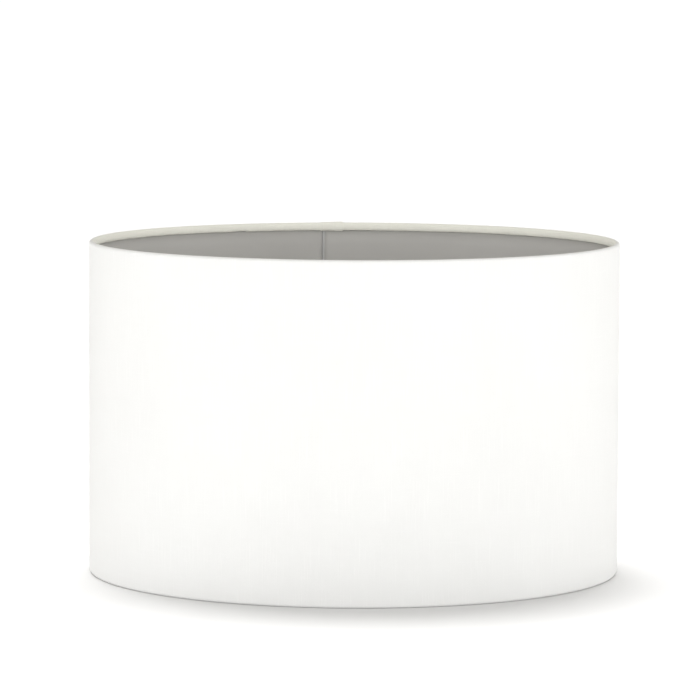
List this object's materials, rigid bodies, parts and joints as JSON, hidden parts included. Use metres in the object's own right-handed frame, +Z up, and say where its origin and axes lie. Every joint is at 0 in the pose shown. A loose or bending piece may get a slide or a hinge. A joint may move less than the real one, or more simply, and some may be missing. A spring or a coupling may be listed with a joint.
{
  "type": "lamp shade",
  "caption": "Wide round drum lamp shade in white cloth on a stiff lining, with rolled rims, a lapped seam and a wire fitter with a lift-out reducer ring.",
  "frame": {"origin": "centre of the circle that the shade stands on", "axes": "+Z up along the drum's axis, through the hole for the lamp holder; the cloth's seam is on the +Y side"},
  "size_m": [0.3999, 0.4007, 0.25],
  "materials": {
    "cover_cloth": "fine slubby plain weave, matt",
    "lining_plastic": "smooth sheet, soft sheen",
    "ring_steel": "white coated wire",
    "white_metal": "white coated, satin",
    "tape": "double-sided tape",
    "reducer_plastic": "moulded white, satin"
  },
  "bodies": {
    "shade": {"outer_cover": "cover_cloth", "lining_panel": "lining_plastic", "top_hem": "cover_cloth", "bottom_hem": "cover_cloth", "seam_lap": "cover_cloth", "seam_tape": "tape", "top_ring": "ring_steel", "bottom_ring": "ring_steel", "top_ring_tape": "tape", "bottom_ring_tape": "tape", "carrier_ring": "white_metal", "spoke_1": "white_metal", "spoke_2": "white_metal", "spoke_3": "white_metal"},
    "reducer": {"reducer_ring": "reducer_plastic"}
  },
  "joints": [
    {"name": "reducer_lift", "type": "slide", "parent": "shade", "child": "reducer", "axis": [0, 0, 1], "range_m": [0, 0.25]}
  ]
}
